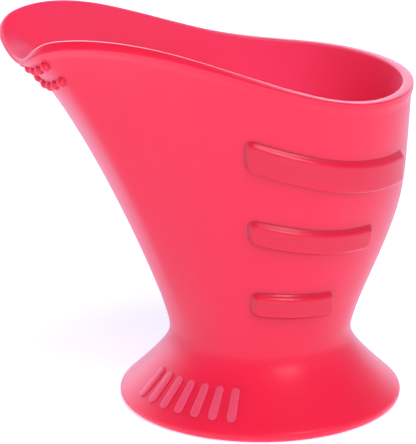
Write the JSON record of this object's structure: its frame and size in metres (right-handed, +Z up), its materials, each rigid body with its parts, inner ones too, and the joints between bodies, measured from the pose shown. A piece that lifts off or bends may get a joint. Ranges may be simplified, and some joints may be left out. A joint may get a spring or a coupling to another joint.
{
  "type": "spouted silicone feeding cup",
  "caption": "Soft one-piece drinking cup on a flared hollow foot, with a wide sloping pouring spout, side grip ribs and small nubs under the lip.",
  "frame": {"origin": "centre of the cup's plan box, on the table under the foot", "axes": "-X towards the spout, +X towards the back of the bowl, +Y across to the cup's right, +Z up"},
  "size_m": [0.0788, 0.0592, 0.0798],
  "materials": {
    "bowl_silicone": "satin translucent silicone",
    "foot_silicone": "satin translucent silicone, thicker and deeper in colour",
    "rib_silicone": "satin silicone",
    "nub_silicone": "satin silicone",
    "mark_silicone": "matt raised silicone"
  },
  "bodies": {
    "root": {"bowl_wall": "bowl_silicone", "rim_bead": "bowl_silicone", "bowl_floor": "foot_silicone", "foot_skirt": "foot_silicone", "rib_left_upper": "rib_silicone", "rib_left_middle": "rib_silicone", "rib_left_lower": "rib_silicone", "rib_right_upper": "rib_silicone", "rib_right_middle": "rib_silicone", "rib_right_lower": "rib_silicone", "lip_nubs_upper": "nub_silicone", "lip_nubs_lower": "nub_silicone", "foot_marks": "mark_silicone"}
  },
  "joints": []
}
